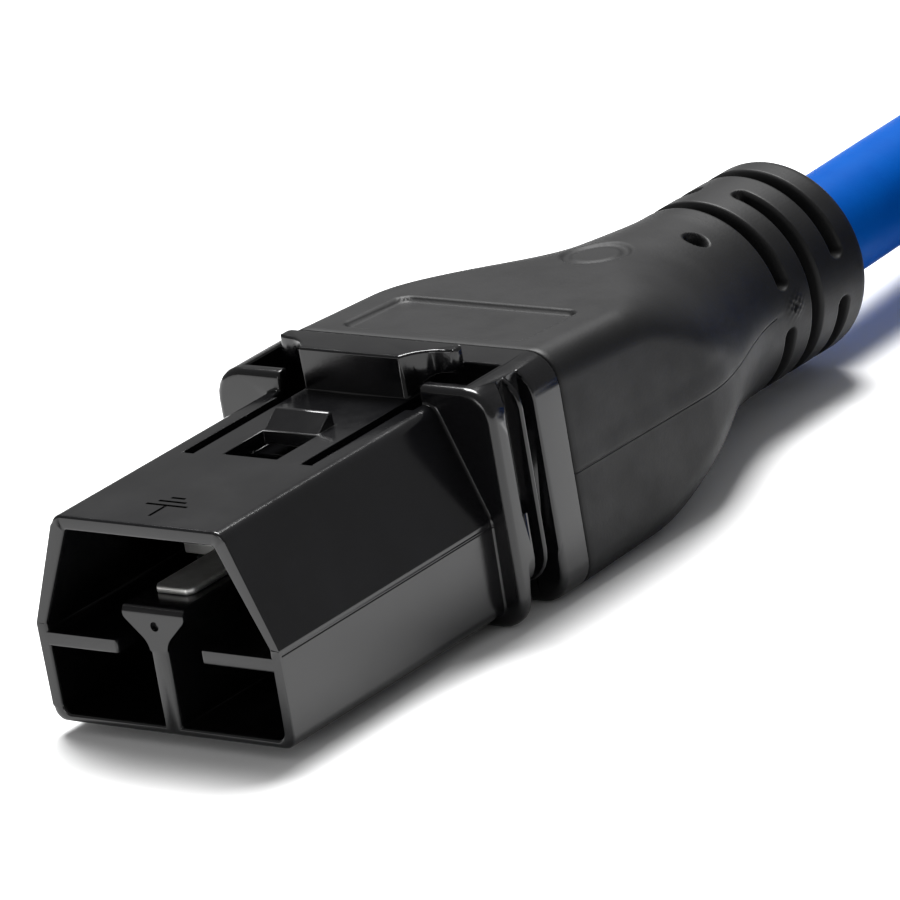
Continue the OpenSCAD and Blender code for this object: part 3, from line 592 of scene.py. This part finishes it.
def stripped_core(index, name, finish, slot):
    """One core past the jacket's end, and its wires. The core runs straight for 3 mm, then bends over a few
    millimetres to its own direction and comes down to the floor. Its 19 wires lie in rings of 1, 6 and 12,
    and turn once round in 22 mm."""
    a = radians(90 + 120 * index)
    start = np.array(TAIL_END) + (0, CORE_OFF * np.cos(a), CORE_OFF * np.sin(a))
    way = np.array([1, TIP_SIDE[index], -(start[2] - 1.5) / 39])
    way /= np.linalg.norm(way)
    bend = start + (CORE_BEND, 0, 0)
    end = bend + CORE_L * way
    beyond = [bend + d * way for d in (4, 10, 18, 26, CORE_L)]
    path = rounded_path(np.array([start - (1.5, 0, 0), start, bend, *beyond]), 0.6)
    core = tube("stripped_" + name + "_core", path, CORE_R, 24, finish)
    side = np.cross(way, (0, 0, 1))
    side /= np.linalg.norm(side)
    up = np.cross(side, way)
    s = np.linspace(-2, 7, 40)
    turn = np.linspace(0, 2 * pi, WIRE_SIDES, endpoint=False)
    skin = WIRE_R * (np.cos(turn)[:, None] * side + np.sin(turn)[:, None] * up)
    wires, faces = [], []
    for ring, count in enumerate((1, 6, 12)):
        for k in range(count):
            twist = 2 * pi * (k / count + s / WIRE_TWIST)[:, None]
            off = 2 * WIRE_R * ring * (0.97 + 0.03 * np.sin(5 * k + ring))
            reach = (s - 0.25 * (s > 6.8) * np.sin(3 * k + ring))[:, None]
            middle = end + reach * way + off * (np.cos(twist) * side + np.sin(twist) * up)
            first = len(wires) * len(s) * WIRE_SIDES
            wires.append(middle[:, None] + skin)
            faces += ring_faces(len(s), WIRE_SIDES, first) + end_faces(len(s), WIRE_SIDES, first)
    strands = smooth_mesh("stripped_" + name + "_wires", np.vstack(wires), faces, COPPER)
    stands_for(core, slot, "tail_" + name + "_core")
    stands_for(strands, "copper_strands", "tail_" + name + "_strands")
    return [core, strands]


on_cord = [strap("coil_strap_near", "coil_tie_left", -112, (0, CABLE_D)),
           strap("coil_strap_far", "coil_tie_right", 68, (-CABLE_D, 0))]
for index, (name, finish) in enumerate((("earth", GREEN), ("left", BLUE), ("right", BROWN))):
    on_cord += stripped_core(index, name, finish, name + "_insulation")


# ---------------------------------------------------------------- housing and contacts

# Where marks are too small to round: the centre rib's front with its pit, and the cut earth sign.
RIB_FACE = ((-3.4, -38.7, 5.5), (3.4, -37.6, 12.4))
EARTH_SIGN = ((-2.3, -37.4, 16.5), (2.3, -33.4, 17.0))

softened("housing", "connector_housing", 0.2, GLOSSY, "housing_plastic", (RIB_FACE, EARTH_SIGN))
for side in ("left", "right"):
    softened("power_contact_" + side, "power_blade_" + side, 0.12, SILVER, "plated_contact")
softened("earth_contact", "earth_blade", 0.14, SILVER, "plated_contact")


# ---------------------------------------------------------------- overmould

# The grip's ends, half width and top come from its solid. The rest are the sizes that the solid has.
FRONT, END = (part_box("overmould")[k][1] / MM for k in (0, 1))
HALF_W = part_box("overmould")[1][0] / MM
TOP_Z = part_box("overmould")[1][2] / MM
AXIS_Z = 8.6
BOOT_R = 7.8
BOOT_FRONT = END - 15.2
BOOT_EDGE_R = 1.1
GRIP_L = 16.2
SHOULDER_L = 17.5
CORNER_R = 2.5
SLOT_W = 1.1
SLOT_DEPTH = 1.9
SLOT_BRIDGE = 3.4
SLOT_ROWS = [END - 3.45 - 3.55 * row for row in range(3)]
LABEL_MIDDLE_Y = FRONT + 5.3
LABEL_HALF = (8.1, 3.7)
LABEL_CORNER_R = 0.9
MARK_Y = FRONT + 21.9
SEAM_Z = 8.98
SEAM_FALL = 0.011
GATE = (SLOT_ROWS[2] + 0.75, 8.65)
POCKET = (8.8, 2.85, 13.05, 0.6, 0.6)
POCKET_END = 11.65
BORE_R = 4.33
BORE_FRONT = 14.65
AROUND = 384


def resampled(outline, count):
    """count points an equal distance apart round a closed outline, from its first point."""
    loop = np.vstack([outline, outline[:1]])
    along = travel(loop)
    at = np.linspace(0, along[-1], count, endpoint=False)
    return np.column_stack([np.interp(at, along, loop[:, k]) for k in range(2)])


def rounded_box_ring(half_w, z0, z1, rx, rz, y):
    """A ring of AROUND points at y, from the middle of the +X side: a rectangle whose corners are quarter
    ellipses, (w - rx + rx cos a, mid + h - rz + rz sin a) for the first one."""
    mid, h = (z0 + z1) / 2, (z1 - z0) / 2
    turn = np.linspace(0, pi / 2, 33)
    corner = np.column_stack([half_w - rx + rx * np.cos(turn), h - rz + rz * np.sin(turn)])
    outline = np.vstack([[[half_w, 0]], corner, corner[::-1] * (-1, 1), -corner, corner[::-1] * (1, -1)])
    flat = resampled(outline, AROUND)
    return np.column_stack([flat[:, 0], np.full(AROUND, y), mid + flat[:, 1]])


def grip_ring(y, inset=0.0):
    """The grip's section at y, as in the CAD: its side draws in from the collar's half width to the boot's
    radius along 3 t^2 - 2 t^3, its top and bottom run straight, and its corners grow into a full round."""
    t = min(1.0, (y - FRONT) / (BOOT_FRONT + 2 - FRONT))
    half_w = BOOT_R + (HALF_W - BOOT_R) * (1 - eased((y - FRONT - GRIP_L) / SHOULDER_L)) - inset
    z1 = TOP_Z + (AXIS_Z + BOOT_R - TOP_Z) * t - inset
    z0 = (AXIS_Z - BOOT_R) * t + inset
    s = eased((y - FRONT - 0.57 * GRIP_L) / GRIP_L)
    return rounded_box_ring(half_w, z0, z1, CORNER_R + (half_w - CORNER_R) * s,
                            CORNER_R + ((z1 - z0) / 2 - CORNER_R) * s, y)


def round_ring(y, r):
    """A round ring of radius r about the cable's axis at y."""
    return rounded_box_ring(r, AXIS_Z - r, AXIS_Z + r, r, r, y)


def slot_depth(angle, y):
    """How deep the flex slots are, 0 to 1. A slot is a long hole with round ends on the unrolled boot: its
    distance is that to its middle line less half its width, and the depth eases in over the edge. The first
    and last rows are bridged at the sides, the middle row above and below."""
    deep = np.zeros_like(angle)
    reach = (pi / 2 - np.arcsin(SLOT_BRIDGE / 2 / BOOT_R)) * BOOT_R - SLOT_W / 2
    for row, at in enumerate(SLOT_ROWS):
        for middle in ((0, pi) if row == 1 else (pi / 2, -pi / 2)):
            s = (angle - middle + pi) % (2 * pi) - pi
            past = np.maximum(np.abs(s * BOOT_R) - reach, 0)
            deep = np.maximum(deep, eased((0.22 - np.hypot(past, y - at) + SLOT_W / 2) / 0.5))
    return deep


def dish(x, y, cx, cy, r, edge):
    """1 inside a circle, 0 outside, eased over its edge."""
    return eased((r - np.hypot(x - cx, y - cy)) / edge + 0.5)


def label_depth(x, y):
    """1 inside the label field's rounded rectangle, eased over its edge."""
    past_x = np.maximum(np.abs(x) - LABEL_HALF[0] + LABEL_CORNER_R, 0)
    past_y = np.maximum(np.abs(y - LABEL_MIDDLE_Y) - LABEL_HALF[1] + LABEL_CORNER_R, 0)
    return eased(0.5 - (np.hypot(past_x, past_y) - LABEL_CORNER_R) / 0.3)


def detail_push(x, y, z):
    """How far the small details push each point outwards: the flex slots, the label field, the round mark
    and its raised middle, the pin hole, a step of 0.05 mm where the mould's halves met, which fades over
    1.6 mm, and the torn spot on the +X side where the mould was filled."""
    up = z > AXIS_Z
    push = -SLOT_DEPTH * slot_depth(np.arctan2(z - AXIS_Z, x), y) * (y > BOOT_FRONT)
    push -= 0.36 * label_depth(x, y) * up
    push -= 0.24 * dish(x, y, 0, MARK_Y, 2.6, 0.4) * up
    push += 0.12 * dish(x, y, 0, MARK_Y, 1.9, 0.4) * up
    push -= 1.1 * dish(x, y, BOOT_R / 2, BOOT_FRONT - 0.2, 0.8, 0.35) * up
    seam = z - SEAM_Z + SEAM_FALL * (y - FRONT)
    fading = eased(1 - np.abs(seam - 0.4) / 1.6) * eased((SLOT_ROWS[2] - y) / 2)
    push += 0.05 * eased(0.5 + seam / 0.3) * fading
    gate = np.hypot(y - GATE[0], z - GATE[1])
    lumps = 0.6 + 0.4 * np.sin(9 * y + 2) * np.sin(11 * z)
    torn = 0.3 * lumps * np.exp(-(gate / 0.75) ** 2) - 0.25 * np.exp(-(gate / 0.3) ** 2)
    return push + np.where(x > 0, torn, 0)


def smooth_overmould():
    """Grip, shoulder and boot as one grid of rings along Y, closer together where there is detail, with each
    point pushed along the surface's normal by detail_push. Its inside has the inner mould's pocket and the
    jacket's bore."""
    spans = [(FRONT + 0.2, 0.5), (FRONT + 1.2, 0.16), (FRONT + 10.0, 0.5), (12.9, 0.2), (19.2, 0.5),
             (21.9, 0.12), (24.3, 0.4), (SLOT_ROWS[2] - 1.0, 0.12), (END - BOOT_EDGE_R, 0.12)]
    stops = [start for start, _ in spans[1:]]
    ys = np.concatenate([np.arange(a, b - 0.3 * step, step) for (a, step), b in zip(spans, stops)])
    rings = [grip_ring(FRONT, 0.18), grip_ring(FRONT + 0.06, 0.06)] + [grip_ring(y) for y in ys]
    rings += [round_ring(END - BOOT_EDGE_R * (1 - np.sin(a)), BOOT_R - BOOT_EDGE_R * (1 - np.cos(a)))
              for a in np.linspace(0, pi / 2, 9)]
    grid = np.array(rings)
    normal = np.cross(np.gradient(grid, axis=0), np.roll(grid, -1, 1) - np.roll(grid, 1, 1))
    normal /= np.linalg.norm(normal, axis=2)[:, :, None]
    grid = grid + detail_push(*np.moveaxis(grid, 2, 0))[:, :, None] * normal
    pocket = [rounded_box_ring(*POCKET, y) for y in (POCKET_END, FRONT)]
    bore = [round_ring(END, BORE_R + 0.27), round_ring(END - 0.25, BORE_R), round_ring(BORE_FRONT, BORE_R)]
    rings = np.vstack([pocket, grid, bore])
    count = len(rings)
    points = np.vstack([rings.reshape(-1, 3), [[0, POCKET_END, AXIS_Z]], [[0, BORE_FRONT, AXIS_Z]]])
    faces = [(a, d, c, b) for a, b, c, d in ring_faces(count, AROUND)]
    deep_end, bore_end = count * AROUND, count * AROUND + 1
    k = np.arange(AROUND)
    after = (k + 1) % AROUND
    last = (count - 1) * AROUND
    faces += [(deep_end, a, b) for a, b in zip(k.tolist(), after.tolist())]
    faces += [(bore_end, last + b, last + a) for a, b in zip(k.tolist(), after.tolist())]
    stands_for(smooth_mesh("overmoulded_grip", points, faces, SATIN), "overmould_vinyl", "overmould")


smooth_overmould()


# ---------------------------------------------------------------- light and floor

def lamp(name, at, target, power, width, height):
    """A rectangular softbox at a place, turned to its target; power is in watts, lengths in metres."""
    data = bpy.data.lights.new(name, "AREA")
    data.energy = power
    data.shape = "RECTANGLE"
    data.size = width
    data.size_y = height
    made = bpy.data.objects.new(name, data)
    bpy.context.scene.collection.objects.link(made)
    made.location = at
    made.rotation_mode = "QUATERNION"
    made.rotation_quaternion = (Vector(target) - Vector(at)).to_track_quat("-Z", "Y")


floor_mesh = bpy.data.meshes.new("floor")
floor_mesh.from_pydata([(-6, -6, 0), (6, -6, 0), (6, 6, 0), (-6, 6, 0)], [], [(0, 1, 2, 3)])
floor = bpy.data.objects.new("floor", floor_mesh)
bpy.context.scene.collection.objects.link(floor)
floor.data.materials.append(material("white_paper", Base_Color=(0.9, 0.9, 0.9, 1), Roughness=0.9,
                                     Specular_IOR_Level=0.1)[0])

world = bpy.data.worlds.new("world")
bpy.context.scene.world = world
world.use_nodes = True
sky = world.node_tree.nodes["Background"]
sky.inputs["Color"].default_value = (1, 1, 1, 1)
sky.inputs["Strength"].default_value = 0.28

lamp("top_softbox", (-0.25, 0.35, 0.9), (0, 0, 0), 25, 0.6, 0.46)
lamp("front_fill", (-0.05, -0.75, 0.16), (0, -0.03, 0.01), 0.9, 0.3, 0.2)
bpy.context.scene.view_settings.view_transform = "Standard"
